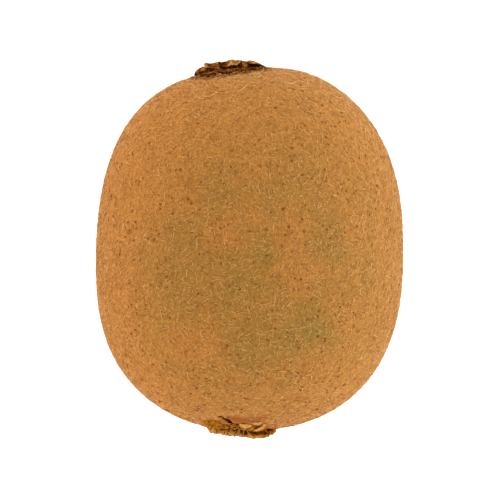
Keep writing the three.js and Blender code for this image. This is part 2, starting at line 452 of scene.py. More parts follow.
# The relief fades out on the spot that the fruit lies on
height = put("ShaderNodeSeparateXYZ", {"Vector": place}, out="Z")
height_share = put(
    "ShaderNodeMapRange", {"Value": height, "From Min": 0.02 * MM, "From Max": 0.8 * MM}
)
relief = put("ShaderNodeMath", {0: relief, 1: height_share}, operation="MULTIPLY")
noted = {}
bare = 0.0
for end in ("Stem", "Blossom"):
    end_distance = distance_to(put, given[end + " end"], "FACES")
    collar = put(
        "ShaderNodeMapRange",
        {
            "Value": end_distance,
            "From Min": given[end + " collar"],
            "From Max": 0.3 * MM,
            "To Max": given[end + " rise"],
        },
        interpolation_type="SMOOTHSTEP",
    )
    relief = put("ShaderNodeMath", {0: relief, 1: collar}, operation="ADD")
    thin = put(
        "ShaderNodeMapRange",
        {"Value": end_distance, "From Min": given[end + " bare"], "From Max": 0.6 * MM},
        interpolation_type="SMOOTHSTEP",
    )
    bare = put("ShaderNodeMath", {0: bare, 1: thin}, operation="MAXIMUM")
    noted[end.lower() + "_distance"] = end_distance
# A torn edge of the skin over the dried flower leaves a crevice, which the skin's material paints
# dark as shade, and the rim beside it has been rubbed bare
uneven = put("ShaderNodeTexNoise", {"Vector": place, "Scale": 1 / ragged_size, "Detail": 1.0})
for label in ("Rubbed rim", "Crevice"):
    ragged = put(
        "ShaderNodeMath",
        {0: uneven, 1: -0.3 * MM, 2: distance_to(put, given[label], "EDGES")},
        operation="MULTIPLY_ADD",
    )
    on_line = put(
        "ShaderNodeMapRange",
        {"Value": ragged, "From Min": given[label + " width"], "From Max": 0.0},
        interpolation_type="SMOOTHSTEP",
    )
    bare = put("ShaderNodeMath", {0: bare, 1: on_line}, operation="MAXIMUM")
    noted[label.lower().replace(" ", "_")] = on_line
noted["bare"] = bare
for name, value in noted.items():
    kept = put("GeometryNodeStoreNamedAttribute", {"Geometry": kept, "Name": name, "Value": value})
sunk = put("ShaderNodeMath", {0: noted["crevice"], 1: given["Crevice depth"]}, operation="MULTIPLY")
lifted = put("ShaderNodeMath", {0: relief, 1: sunk}, operation="SUBTRACT")
moved = put("ShaderNodeVectorMath", {0: outward, "Scale": lifted}, operation="SCALE")
shaped = put("GeometryNodeSetPosition", {"Geometry": kept, "Offset": moved})
end_tree(put, shaped, given["Material"])

skin_mesh = finer(merged("berry"), crevice_places[2], crevice_reach, cuts=2)
skin = grown("kiwi_skin", skin_mesh, skin_tree, skin_sizes)
bpy.data.objects.remove(skin_sizes["Crevice"])
bpy.data.objects.remove(skin_sizes["Rubbed rim"])
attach(skin, "root")
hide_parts("berry")


# The corky specks
# Small rusty brown scabs of cork where bundles of hairs are rooted. They are flat grains, half
# sunk in the skin, from a fifth to three quarters of a millimetre across.
speck_light = "#8c4c1a"
speck_dark = "#6a3410"


def toned(name, dark, light, **sockets):
    """A material for grains that each have their own tone between two colours."""
    material, shader, put = finish(name, **sockets)
    tone = put("ShaderNodeAttribute", out="Fac", attribute_name="tone")
    colour = put(
        "ShaderNodeMix",
        {"Factor": tone, "A": linear(dark), "B": linear(light)},
        out="Result",
        data_type="RGBA",
    )
    wire(shader, Base_Color=colour)
    return material


# Cork: matt and rusty, each grain of its own tone
cork = toned("cork_specks", speck_dark, speck_light, Roughness=0.85, Specular_IOR_Level=0.1)

speck_sizes = {
    "Density": 0.18 / MM**2,
    "Crowding": 1.4,
    "Least size": 0.10 * MM, "Most size": 0.23 * MM,
    "Flatness": 0.7,
    "Seed": 11,
    "Material": cork,
}
speck_tree, given, put = new_tree("corky specks", speck_sizes)
flower_distance = put("GeometryNodeInputNamedAttribute", {"Name": "blossom_distance"})
crowding = put(
    "ShaderNodeMapRange",
    {
        "Value": flower_distance,
        "From Min": 22 * MM,
        "From Max": 4 * MM,
        "To Max": given["Crowding"],
    },
)
density = put(
    "ShaderNodeMath",
    {0: crowding, 1: given["Density"], 2: given["Density"]},
    operation="MULTIPLY_ADD",
)
spots = put(
    "GeometryNodeDistributePointsOnFaces",
    {"Mesh": given["Geometry"], "Density": density, "Seed": given["Seed"]},
).node.outputs
chance = {
    name: put("FunctionNodeRandomValue", {"Min": least, "Max": most, "Seed": seed})
    for name, least, most, seed in (
        ("tone", 0.0, 1.0, 5),
        ("size", given["Least size"], given["Most size"], 6),
        ("stretch", 1.0, 1.6, 7),
        ("turn", 0.0, math.tau, 8),
    )
}
speck_points = put(
    "GeometryNodeStoreNamedAttribute",
    {"Geometry": spots["Points"], "Name": "tone", "Value": chance["tone"]},
)
stretch = put("ShaderNodeCombineXYZ", {"X": chance["stretch"], "Y": 1.0, "Z": given["Flatness"]})
spin = put("FunctionNodeAxisAngleToRotation", {"Axis": (0, 0, 1), "Angle": chance["turn"]})
speck_turn = put(
    "FunctionNodeRotateRotation",
    {"Rotation": spots["Rotation"], "Rotate By": spin},
    rotation_space="LOCAL",
)
speck_scale = put("ShaderNodeVectorMath", {0: stretch, "Scale": chance["size"]}, operation="SCALE")
speck_shape = put("GeometryNodeMeshIcoSphere", out="Mesh")
specks_placed = put(
    "GeometryNodeInstanceOnPoints",
    {"Points": speck_points, "Instance": speck_shape, "Rotation": speck_turn, "Scale": speck_scale},
)
specks_whole = put("GeometryNodeRealizeInstances", {"Geometry": specks_placed})
end_tree(put, specks_whole, given["Material"])

specks = grown("corky_specks", skin.data, speck_tree, speck_sizes)
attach(specks, "root")


# The hairs
# Stiff golden brown hairs, dead and dry, each rooted in the skin and pressed down on it in its
# own direction, so that together they make a thin felt. Each is a tapering blade of three sides.
hair_tan = "#e2ae6e"
hair_gold = "#d0944c"
hair_brown = "#9d6426"
hair_dark = "#4a2808"
root_shade = 0.5
root_depth = 0.05 * MM

# Dry hair: a soft shine along it, from golden to tan or brown, and darker at its root
dry_hair, hair_shader, put = finish("dry_kiwi_hair", Roughness=0.5, Specular_IOR_Level=0.11)
tone = put("ShaderNodeAttribute", out="Fac", attribute_name="tone")
along = put("ShaderNodeAttribute", out="Fac", attribute_name="along")
hair_ramp = put("ShaderNodeValToRGB", {"Fac": tone}, out="Color")
ramp = hair_ramp.node.color_ramp
ramp.elements[0].color = linear(hair_dark)
ramp.elements[1].color = linear(hair_tan)
ramp.elements.new(0.35).color = linear(hair_brown)
ramp.elements.new(0.65).color = linear(hair_gold)
root_to_tip = put("ShaderNodeMapRange", {"Value": along, "From Max": 0.5, "To Min": root_shade})
hair_colour = put("ShaderNodeVectorMath", {0: hair_ramp, "Scale": root_to_tip}, operation="SCALE")
hair_place = put("ShaderNodeTexCoord", out="Object")
wire(hair_shader, Base_Color=sided(put, hair_place, hair_colour))

# The sizes of the felt, which the other hairs change where they differ from it. A hair grows
# where the distance of the name Round lies between From and To, and not on what Bare names.
felt = {
    "Density": 1.92 / MM**2,
    "Patchiness": 0.12,
    "Bare": "bare",
    "Round": "blossom_distance",
    "From": 0.3 * MM, "To": 1.0,
    "Least tone": 0.35, "Most tone": 0.8,
    "Least length": 0.5 * MM, "Most length": 1.4 * MM,
    "Root width": 0.11 * MM,
    "Along": (1.0, 0.0, 0.0),
    "Spread": math.pi,
    "Ride": 0.02 * MM, "Rise": 0.15,
    "Least stand": 0.0, "Most stand": 0.08,
    "Bend": 0.28,
    "Wiggle": 0.0, "Waves": 0.0,
    "Points": 3,
    "Seed": 31,
    "Material": dry_hair,
}
hair_tree, given, put = new_tree("dry hairs", felt)
place = put("GeometryNodeInputPosition")
tufts = put("ShaderNodeTexNoise", {"Vector": place, "Scale": 1 / (5 * MM)})
least_tuft, most_tuft = (
    put("ShaderNodeMath", {0: 1.0, 1: given["Patchiness"]}, operation=way)
    for way in ("SUBTRACT", "ADD")
)
tuft_share = put(
    "ShaderNodeMapRange",
    {"Value": tufts, "From Min": 0.3, "From Max": 0.7, "To Min": least_tuft, "To Max": most_tuft},
)
distance = put("GeometryNodeInputNamedAttribute", {"Name": given["Round"]})
far_enough = put(
    "FunctionNodeCompare", {"A": distance, "B": given["From"]}, operation="GREATER_THAN"
)
near_enough = put("FunctionNodeCompare", {"A": distance, "B": given["To"]}, operation="LESS_THAN")
in_reach = put("FunctionNodeBooleanMath", {0: far_enough, 1: near_enough}, operation="AND")
bare_part = put("GeometryNodeInputNamedAttribute", {"Name": given["Bare"]})
hairy_part = put("ShaderNodeMath", {0: 1.0, 1: bare_part}, operation="SUBTRACT")
tufted = put("ShaderNodeMath", {0: tuft_share, 1: given["Density"]}, operation="MULTIPLY")
local_density = put("ShaderNodeMath", {0: tufted, 1: hairy_part}, operation="MULTIPLY")
roots = put(
    "GeometryNodeDistributePointsOnFaces",
    {
        "Mesh": given["Geometry"],
        "Density": local_density,
        "Selection": in_reach,
        "Seed": given["Seed"],
    },
).node.outputs
kept = roots["Points"]
for name, least, most, seed in (
    ("hair_length", given["Least length"], given["Most length"], 21),
    ("hair_bend", -1.0, 1.0, 22),
    ("hair_stand", 0.0, 1.0, 23),
    ("tone", given["Least tone"], given["Most tone"], 24),
):
    chance = put("FunctionNodeRandomValue", {"Min": least, "Max": most, "Seed": seed})
    kept = put("GeometryNodeStoreNamedAttribute", {"Geometry": kept, "Name": name, "Value": chance})
kept = put(
    "GeometryNodeStoreNamedAttribute",
    {"Geometry": kept, "Name": "hair_out", "Value": roots["Normal"]},
    data_type="FLOAT_VECTOR",
)
line = put("GeometryNodeCurvePrimitiveLine", {"End": (1, 0, 0)})
straight = put("GeometryNodeResampleCurve", {"Curve": line, "Count": given["Points"]})
# Each hair is turned to lie along the given direction, then spun by its own share of the spread
aligned = put(
    "FunctionNodeAlignRotationToVector",
    {"Rotation": roots["Rotation"], "Vector": given["Along"]},
    axis="X",
    pivot_axis="Z",
)
own_spin = put("FunctionNodeRandomValue", {"Min": -1.0, "Seed": 25})
spin = put("ShaderNodeMath", {0: own_spin, 1: given["Spread"]}, operation="MULTIPLY")
spin = put("FunctionNodeAxisAngleToRotation", {"Axis": (0, 0, 1), "Angle": spin})
spun = put(
    "FunctionNodeRotateRotation", {"Rotation": aligned, "Rotate By": spin}, rotation_space="LOCAL"
)
own = {
    name: put("GeometryNodeInputNamedAttribute", {"Name": name})
    for name in ("hair_length", "hair_bend", "hair_stand", "tone")
}
hairs_placed = put(
    "GeometryNodeInstanceOnPoints",
    {"Points": kept, "Instance": straight, "Rotation": spun, "Scale": own["hair_length"]},
)
strands = put("GeometryNodeRealizeInstances", {"Geometry": hairs_placed})
share = put("GeometryNodeSplineParameter", out="Factor")
hair_out = put("GeometryNodeInputNamedAttribute", {"Name": "hair_out"}, data_type="FLOAT_VECTOR")
sideways = put(
    "ShaderNodeVectorMath",
    {0: hair_out, 1: put("GeometryNodeInputTangent")},
    operation="CROSS_PRODUCT",
)
share_squared = put("ShaderNodeMath", {0: share, 1: 2.0}, operation="POWER")
bend = put("ShaderNodeMath", {0: own["hair_bend"], 1: given["Bend"]}, operation="MULTIPLY")
bent = put("ShaderNodeMath", {0: bend, 1: share_squared}, operation="MULTIPLY")
phase = put("ShaderNodeMath", {0: own["tone"], 1: math.tau}, operation="MULTIPLY")
wave_turn = put("ShaderNodeMath", {0: given["Waves"], 1: math.tau}, operation="MULTIPLY")
wave = put("ShaderNodeMath", {0: share, 1: wave_turn, 2: phase}, operation="MULTIPLY_ADD")
wave = put("ShaderNodeMath", {0: wave}, operation="SINE")
waved = put("ShaderNodeMath", {0: wave, 1: given["Wiggle"], 2: bent}, operation="MULTIPLY_ADD")
aside = put("ShaderNodeMath", {0: waved, 1: own["hair_length"]}, operation="MULTIPLY")
aside = put("ShaderNodeVectorMath", {0: sideways, "Scale": aside}, operation="SCALE")
flat_place = put("ShaderNodeVectorMath", {0: place, 1: aside}, operation="ADD")
on_skin = put(
    "GeometryNodeProximity",
    {"Geometry": given["Geometry"], "Sample Position": flat_place},
    out="Position",
)
# The middle of a hair rises in an arch off the skin, its root is sunk and its tip may stand up
rest_share = put("ShaderNodeMath", {0: 1.0, 1: share}, operation="SUBTRACT")
arch = put("ShaderNodeMath", {0: share, 1: rest_share}, operation="MULTIPLY")
arch_height = put("ShaderNodeMath", {0: arch, 1: given["Rise"]}, operation="MULTIPLY")
stand = put("ShaderNodeMath", {0: own["hair_stand"], 1: 2.0}, operation="POWER")
stand = put(
    "ShaderNodeMapRange",
    {"Value": stand, "To Min": given["Least stand"], "To Max": given["Most stand"]},
)
stand = put("ShaderNodeMath", {0: stand, 1: share, 2: arch_height}, operation="MULTIPLY_ADD")
lift = put("ShaderNodeMath", {0: stand, 1: own["hair_length"]}, operation="MULTIPLY")
root_sink = put(
    "ShaderNodeMapRange",
    {"Value": share, "From Max": 0.5, "To Min": -root_depth, "To Max": given["Ride"]},
)
height = put("ShaderNodeMath", {0: lift, 1: root_sink}, operation="ADD")
lift = put("ShaderNodeVectorMath", {0: hair_out, "Scale": height}, operation="SCALE")
final_place = put("ShaderNodeVectorMath", {0: on_skin, 1: lift}, operation="ADD")
shaped = put("GeometryNodeSetPosition", {"Geometry": strands, "Position": final_place})
shaded = put(
    "GeometryNodeStoreNamedAttribute", {"Geometry": shaped, "Name": "along", "Value": share}
)
taper = put("ShaderNodeMath", {0: rest_share, 1: 0.6}, operation="POWER")
width = put("ShaderNodeMath", {0: taper, 1: given["Root width"]}, operation="MULTIPLY")
three_sided = put("GeometryNodeCurvePrimitiveCircle", {"Resolution": 3, "Radius": 0.5})
blades = put(
    "GeometryNodeCurveToMesh",
    {"Curve": shaded, "Profile Curve": three_sided, "Scale": width, "Fill Caps": True},
)
pointed = put(
    "GeometryNodeMergeByDistance", {"Geometry": blades, "Distance": same_spot}, mode="CONNECTED"
)
end_tree(put, pointed, given["Material"])

hair_pieces = {
    "felt_hairs_a": felt,
    "felt_hairs_b": {**felt, "Seed": 32},
    "short_hairs": {
        **felt,
        "Density": 4.7 / MM**2,
        "Least tone": 0.15, "Most tone": 0.85,
        "Least length": 0.3 * MM, "Most length": 0.8 * MM,
        "Root width": 0.13 * MM,
        "Most stand": 0.18,
        "Points": 2,
        "Seed": 33,
    },
    "long_hairs": {
        **felt,
        "Density": 0.2 / MM**2,
        "Patchiness": 0.8,
        "Least tone": 0.55, "Most tone": 0.9,
        "Least length": 1.0 * MM, "Most length": 2.0 * MM,
        "Ride": 0.06 * MM,
        "Points": 5,
        "Seed": 34,
    },
    "curly_hairs": {
        **felt,
        "Density": 0.055 / MM**2,
        "Round": "stem_distance",
        "To": 16 * MM,
        "Least tone": 0.8, "Most tone": 1.0,
        "Least length": 2.5 * MM, "Most length": 8 * MM,
        "Root width": 0.13 * MM,
        "Spread": 0.6,
        "Ride": 0.17 * MM, "Rise": 0.01,
        "Most stand": 0.0,
        "Bend": 0.3,
        "Wiggle": 0.06, "Waves": 1.8,
        "Points": 14,
        "Seed": 35,
    },
}
for name, sizes in hair_pieces.items():
    hairs = grown(name, skin.data, hair_tree, sizes)
    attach(hairs, "root")


# The dried sepals
# Five small sepals and the cup that held the stalk, dried to a brittle brown crown. They have
# shrunk and crinkled. Their colour follows their curvature: golden on convex rims, partly a
# painted highlight, and almost black in their folds and near the skin, which is painted shade.
from mathutils.bvhtree import BVHTree

tissue_voxel = 0.13 * MM
sepal_golden = "#ac7a38"
sepal_olive = "#6c3b10"
sepal_dark = "#361404"
# Flat lumps of sepal laid along the crown's foot on the skin; near the skin they are painted dark,
# a band of painted shade under the sepals
sepal_feet = [
    (-8.5, 29.75, 0.9), (-7.6, 29.88, 1.05), (-6.4, 29.78, 1.25), (-5.1, 30.15, 1.15),
    (-3.8, 30.08, 1.2), (-2.4, 30.42, 1.1), (-1.0, 30.42, 1.2), (0.4, 30.72, 1.0),
    (1.6, 30.78, 0.95), (2.4, 31.05, 0.6), (-9.05, 30.35, 0.75), (-8.0, 30.6, 0.95),
    (-7.0, 30.65, 1.0), (-5.8, 30.75, 1.05), (-4.6, 30.85, 1.05), (-3.3, 30.95, 1.0),
    (-2.0, 31.0, 1.0), (-0.8, 31.1, 0.95), (0.4, 31.25, 0.85), (1.4, 31.4, 0.7),
    (2.3, 31.4, 0.6),
]
# Spots where the folds are sunk a little and painted dark as shade
sepal_folds = [
    (-5.5, 31.9), (-6.3, 31.15), (-6.6, 30.45), (-6.1, 30.1), (-7.1, 30.45), (-0.7, 31.8),
    (-3.35, 30.8), (-2.3, 30.8), (-1.3, 30.9), (-0.43, 30.8), (0.6, 30.9), (1.6, 30.9),
    (-5.9, 31.6), (-4.9, 31.9), (-0.2, 31.6), (-5.3, 30.7), (-4.3, 30.7),
]
sepal_flat = [
    (-8.3, 29.0, 0.8), (-7.2, 28.6, 1.0), (-6.0, 29.2, 1.1), (-4.9, 28.7, 1.0),
    (-3.7, 29.3, 1.1), (-2.6, 28.9, 1.1), (-1.4, 29.2, 1.0), (-0.3, 28.7, 1.0),
    (0.8, 29.0, 1.0), (1.9, 28.5, 0.8), (-7.7, 30.2, 1.0), (-6.6, 30.5, 1.1),
    (-5.4, 30.3, 1.1), (-4.2, 30.7, 1.2), (-3.1, 30.5, 1.1), (-1.9, 30.8, 1.2),
    (-0.8, 30.4, 1.1), (0.3, 30.5, 1.1), (1.4, 30.1, 1.0), (-6.7, 27.3, 0.9),
    (-4.3, 27.4, 0.9), (-1.9, 27.5, 0.9), (0.4, 27.3, 0.9), (-3.1, 27.9, 0.9),
]
bent_from = 32.25 * MM
bent_middle = 1.4 * MM
bent_slope = -0.65
bent_share = 0.2
lump_width = 0.8
lump_height = 0.55
gap_reach = 4 * MM


def dead_tissue(name, mottle_size, mottle_share, shades, tones):
    """A matt material for dead tissue, darker by its mottle and by attributes of painted shade,
    along a ramp.
    """
    material, shader, put = finish(name, Roughness=0.85, Specular_IOR_Level=0.0)
    place = put("ShaderNodeTexCoord", out="Object")
    mottle = put(
        "ShaderNodeTexNoise",
        {"Vector": place, "Scale": 1 / mottle_size, "Detail": 3.0, "Roughness": 0.65},
    )
    shade = 0.0
    for attribute in shades:
        value = put("ShaderNodeAttribute", out="Fac", attribute_name=attribute)
        shade = put("ShaderNodeMath", {0: shade, 1: value}, operation="MAXIMUM")
    centred = put("ShaderNodeMath", {0: mottle, 1: 0.5}, operation="SUBTRACT")
    tone = put("ShaderNodeMath", {0: centred, 1: mottle_share, 2: shade}, operation="MULTIPLY_ADD")
    colour = put("ShaderNodeValToRGB", {"Fac": tone}, out="Color")
    stops = colour.node.color_ramp.elements
    stops.remove(stops[1])
    for position, code in tones.items():
        stops.new(position).color = linear(code)
    stops.remove(stops[0])
    bump = put("ShaderNodeBump", {"Height": mottle, "Strength": 0.6, "Distance": 0.15 * MM})
    wire(shader, Base_Color=colour, Normal=bump)
    return material, shader, put, place, colour


# Dead leaf tissue: matt, golden where it is thin and convex, partly a painted highlight, and
# painted dark as shade in its hollows, its pits and near the skin
dead_sepal, *_ = dead_tissue(
    "dead_sepal",
    0.9 * MM,
    1.6,
    ("hollow", "lowness"),
    {0.2: sepal_golden, 0.5: sepal_olive, 0.85: sepal_dark},
)


def topmost(shapes, x, y):
    """The spot of several shapes that lies highest at x, y, and how it faces."""
    found = [spot for spot in (seen(shape, x, y) for shape in shapes) if spot]
    return max(found, key=lambda spot: spot[0].z)


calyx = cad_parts["calyx"]
fold_places = [topmost((calyx, skin), *spot)[0] for spot in sepal_folds]
sepal_sizes = {
    "Shrink": 0.13 * MM,
    "Wrinkle size": 1.1 * MM, "Wrinkle height": 0.6 * MM,
    "Crumb size": 0.5 * MM, "Crumb height": 0.12 * MM,
    "Pits": marks("folds", fold_places, joined=False),
    "Pit width": 1.0 * MM, "Pit depth": 0.25 * MM,
    "Skin": skin,
    "Dark foot": 1.5 * MM,
    "Least part": 200.0,
    "Material": dead_sepal,
}
tissue_tree, given, put = new_tree("dried tissue", sepal_sizes)
place = put("GeometryNodeInputPosition")
outward = put("GeometryNodeInputNormal", out="Normal")
# Hollows, the marked pits and the parts near the skin are stored for the material, which paints
# them dark as shade
blurred = put(
    "GeometryNodeBlurAttribute", {"Value": place, "Iterations": 14}, data_type="FLOAT_VECTOR"
)
bulge = put("ShaderNodeVectorMath", {0: blurred, 1: place}, operation="SUBTRACT")
bulge = put("ShaderNodeVectorMath", {0: bulge, 1: outward}, out="Value", operation="DOT_PRODUCT")
hollow = put("ShaderNodeMapRange", {"Value": bulge, "From Min": -0.12 * MM, "From Max": 0.06 * MM})
skin_gap = distance_to(put, given["Skin"], "FACES")
lowness = put(
    "ShaderNodeMapRange",
    {"Value": skin_gap, "From Min": given["Dark foot"], "From Max": 0.1 * MM},
    interpolation_type="SMOOTHSTEP",
)
pit_distance = distance_to(put, given["Pits"], "POINTS")
in_pit = put(
    "ShaderNodeMapRange",
    {"Value": pit_distance, "From Min": given["Pit width"], "From Max": 0.2 * MM},
    interpolation_type="SMOOTHSTEP",
)
darkest = put("ShaderNodeMath", {0: hollow, 1: in_pit}, operation="MAXIMUM")
kept = given["Geometry"]
for name, value in {"hollow": darkest, "lowness": lowness}.items():
    kept = put("GeometryNodeStoreNamedAttribute", {"Geometry": kept, "Name": name, "Value": value})
wrinkle_scale, crumb_scale = (
    put("ShaderNodeMath", {0: 1.0, 1: given[label]}, operation="DIVIDE")
    for label in ("Wrinkle size", "Crumb size")
)
crease = put("ShaderNodeTexNoise", {"Vector": place, "Scale": wrinkle_scale, "Distortion": 0.6})
crease = put("ShaderNodeMath", {0: crease, 1: 0.5}, operation="SUBTRACT")
crease = put("ShaderNodeMath", {0: crease}, operation="ABSOLUTE")
crease = put("ShaderNodeMath", {0: 0.08, 1: crease}, operation="SUBTRACT")
wrinkled = put("ShaderNodeMath", {0: crease, 1: given["Wrinkle height"]}, operation="MULTIPLY")
crumb = put("ShaderNodeTexVoronoi", {"Vector": place, "Scale": crumb_scale}, out="Distance")
crumb = put("ShaderNodeMath", {0: 0.45, 1: crumb}, operation="SUBTRACT")
crumbled = put(
    "ShaderNodeMath", {0: crumb, 1: given["Crumb height"], 2: wrinkled}, operation="MULTIPLY_ADD"
)
shrunk = put("ShaderNodeMath", {0: crumbled, 1: given["Shrink"]}, operation="SUBTRACT")
pit_sink = put("ShaderNodeMath", {0: in_pit, 1: given["Pit depth"]}, operation="MULTIPLY")
tissue_height = put("ShaderNodeMath", {0: shrunk, 1: pit_sink}, operation="SUBTRACT")
moved = put("ShaderNodeVectorMath", {0: outward, "Scale": tissue_height}, operation="SCALE")
tissue_shaped = put("GeometryNodeSetPosition", {"Geometry": kept, "Offset": moved})
# A crumb that has come off the whole, with fewer corners than the least part, has fallen away
island = put("GeometryNodeInputMeshIsland", out="Island Index")
island_size = put("GeometryNodeAccumulateField", {"Value": 1.0, "Group ID": island}, out="Total")
fallen = put(
    "FunctionNodeCompare", {"A": island_size, "B": given["Least part"]}, operation="LESS_THAN"
)
tissue_joined = put("GeometryNodeDeleteGeometry", {"Geometry": tissue_shaped, "Selection": fallen})
end_tree(put, tissue_joined, given["Material"])


def spread(node, lumps, press, flat=()):
    """A node's mesh with flat lumps of dry tissue laid on it and on the skin, then pressed."""
    mesh = merged(node)
    shape = bmesh.new()
    shape.from_mesh(mesh)
    spots = [
        (*(seen(skin, x, y) or seen(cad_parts[node], x, y)), radius) for x, y, radius in lumps
    ]
    for x, z, radius in flat:
        outside = Vector((x * MM, far_off, z * MM))
        _, spot, facing, _ = skin.ray_cast(outside, Vector((0, -1, 0)))
        spots.append((spot, facing, radius))
    for spot, facing, radius in spots:
        turn = facing.to_track_quat("Z", "Y").to_matrix().to_4x4()
        size = Vector((radius, radius * lump_width, radius * lump_height)) * MM
        place = Matrix.Translation(spot) @ turn @ Matrix.Diagonal(size).to_4x4()
        bmesh.ops.create_icosphere(shape, subdivisions=2, radius=1.0, matrix=place)
    for corner in shape.verts:
        corner.co.y = press(corner.co)
    return closed(shape, mesh)


def bent_in(place):
    """The sepal on the right has curled in over the scar."""
    bent = bent_from + bent_slope * (place.x - bent_middle)
    return bent + bent_share * (place.y - bent) if place.y > bent else place.y


crown = spread("calyx", sepal_feet, bent_in, sepal_flat)
sepals = grown("dried_sepals", crown, tissue_tree, sepal_sizes, voxel=tissue_voxel)
bpy.data.objects.remove(sepal_sizes["Pits"])
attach(sepals, "root")
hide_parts("calyx")

# Round the sepals the skin has a fringe of coarser, browner hairs that stand up against them.
# They are dusty, without the shine of the others.
dusty_hair = dry_hair.copy()
dusty_hair.name = "dusty_kiwi_hair"
dusty_hair.node_tree.nodes[hair_shader.name].inputs["Specular IOR Level"].default_value = 0.0
sepal_faces = [tuple(face.vertices) for face in sepals.data.polygons]
sepal_shape = BVHTree.FromPolygons([corner.co for corner in sepals.data.vertices], sepal_faces)
# The distance to the sepals feeds the fringe, and the painted shade at their foot on the skin
sepal_gap = skin.data.attributes.new("sepal_gap", "FLOAT", "POINT")
for corner in skin.data.vertices:
    nearest = sepal_shape.find_nearest(corner.co, gap_reach)
    sepal_gap.data[corner.index].value = nearest[3] if nearest[0] else 1.0
sepal_fringe = grown(
    "sepal_fringe",
    skin.data,
    hair_tree,
    {
        **felt,
        "Density": 9 / MM**2,
        "Bare": "crevice",
        "Round": "sepal_gap",
        "From": 0.1 * MM, "To": 1.2 * MM,
        "Least tone": -0.1, "Most tone": 0.66,
        "Least length": 0.4 * MM, "Most length": 0.9 * MM,
        "Root width": 0.17 * MM,
        "Along": (0.0, 0.0, 1.0),
        "Spread": 0.7,
        "Rise": 0.1,
        "Least stand": 0.2, "Most stand": 0.55,
        "Bend": 0.3,
        "Points": 4,
        "Seed": 36,
        "Material": dusty_hair,
    },
)
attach(sepal_fringe, "root")

sepal_fuzz = grown(
    "sepal_fuzz",
    sepals.data,
    hair_tree,
    {
        **felt,
        "Density": 5 / MM**2,
        "Bare": "",
        "Round": "lowness",
        "From": -1.0,
        "Least tone": 0.0, "Most tone": 0.7,
        "Least length": 0.25 * MM, "Most length": 0.6 * MM,
        "Root width": 0.08 * MM,
        "Most stand": 0.5,
        "Seed": 41,
        "Material": dusty_hair,
    },
)
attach(sepal_fuzz, "root")


# The dried flower
# A crumbly ring of withered stamens round the pit where the styles stood. On the upper side it
# spills over the skin's edge in lumps, and pockets are left between it and the styles, sunk and
# painted dark as shade.
stamen_pale = "#a06a24"
stamen_yellow = "#845008"
stamen_crest = "#c08c48"
crest_from = -31.35 * MM
crest_to = -32.0 * MM
crest_slope = 0.16
stamen_brown = "#743c06"
stamen_dark = "#461c02"
anther_light = "#7a4412"
anther_dark = "#3c1c06"
spilled_lumps = [
    (-6.9, -29.4, 1.2), (-5.8, -29.6, 1.4), (-4.7, -29.9, 1.3), (-3.6, -30.3, 1.2),
    (-2.4, -30.8, 1.0), (-6.1, -30.3, 1.3), (-4.6, -30.8, 1.3), (3.6, -30.9, 1.1),
    (-7.4, -29.5, 1.0), (-4.7, -31.2, 1.15), (-3.6, -31.4, 0.8), (3.3, -31.4, 0.95),
    (-5.4, -31.2, 1.0), (-0.9, -31.9, 1.1), (4.1, -31.0, 0.9),
]
# Spots where pockets are sunk and painted dark as shade
pocket_spots = [
    (-2.6, -30.8), (-1.8, -31.1), (-1.1, -31.2), (-0.4, -31.3), (1.3, -31.3), (2.1, -31.2),
    (2.9, -31.0), (3.5, -30.9), (-2.0, -30.3),
]
worn_from = -32.0 * MM
crest_middle = -2 * MM
worn_slope = -0.13
worn_share = 0.35

# Withered stamens: dry and matt, yellow brown, painted darker as shade in the pockets and hollows
# between the crumbs, and paler where convex
dead_flower, flower_shader, put, flower_place, flower_colour = dead_tissue(
    "dead_stamens",
    0.8 * MM,
    1.2,
    ("hollow",),
    {0.15: stamen_pale, 0.45: stamen_yellow, 0.7: stamen_brown, 0.95: stamen_dark},
)
# The crest along the lower outline is painted paler: a painted highlight on its lip
flower_spot = put("ShaderNodeSeparateXYZ", {"Vector": flower_place}).node.outputs
crest_place = put(
    "ShaderNodeMath",
    {0: flower_spot["X"], 1: crest_slope, 2: flower_spot["Y"]},
    operation="MULTIPLY_ADD",
)
crest_share = put(
    "ShaderNodeMapRange",
    {"Value": crest_place, "From Min": crest_from, "From Max": crest_to, "To Max": 0.4},
    interpolation_type="SMOOTHSTEP",
)
crested = put(
    "ShaderNodeMix",
    {"Factor": crest_share, "A": flower_colour, "B": linear(stamen_crest)},
    out="Result",
    data_type="RGBA",
)
wire(flower_shader, Base_Color=crested)


def worn_down(place):
    """The crest that the fruit was rubbed on in its tray is rubbed flatter."""
    worn = worn_from + worn_slope * (place.x - crest_middle)
    return worn + worn_share * (place.y - worn) if place.y < worn else place.y


clump = spread("flower_remains", spilled_lumps, worn_down)
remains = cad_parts["flower_remains"]
pocket_places = [topmost((remains, skin), *spot)[0] for spot in pocket_spots]
flower_sizes = {
    **sepal_sizes,
    "Shrink": 0.12 * MM,
    "Wrinkle size": 1.3 * MM, "Wrinkle height": 0.45 * MM,
    "Crumb size": 0.55 * MM, "Crumb height": 0.22 * MM,
    "Pits": marks("pockets", pocket_places, joined=False),
    "Pit depth": 0.8 * MM,
    "Dark foot": 0.5 * MM,
    "Material": dead_flower,
}
flower = grown("dried_flower", clump, tissue_tree, flower_sizes, voxel=tissue_voxel)
bpy.data.objects.remove(flower_sizes["Pits"])
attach(flower, "root")
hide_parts("flower_remains")

stamen_threads = grown(
    "stamen_threads",
    flower.data,
    hair_tree,
    {
        **felt,
        "Density": 2.5 / MM**2,
        "Bare": "",
        "Round": "hollow",
        "From": -1.0, "To": 0.5,
        "Least tone": 0.0, "Most tone": 0.5,
        "Least length": 0.6 * MM, "Most length": 1.8 * MM,
        "Root width": 0.1 * MM,
        "Rise": 0.2,
        "Most stand": 0.15,
        "Bend": 0.5,
        "Points": 5,
        "Seed": 51,
        "Material": dusty_hair,
    },
)
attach(stamen_threads, "root")

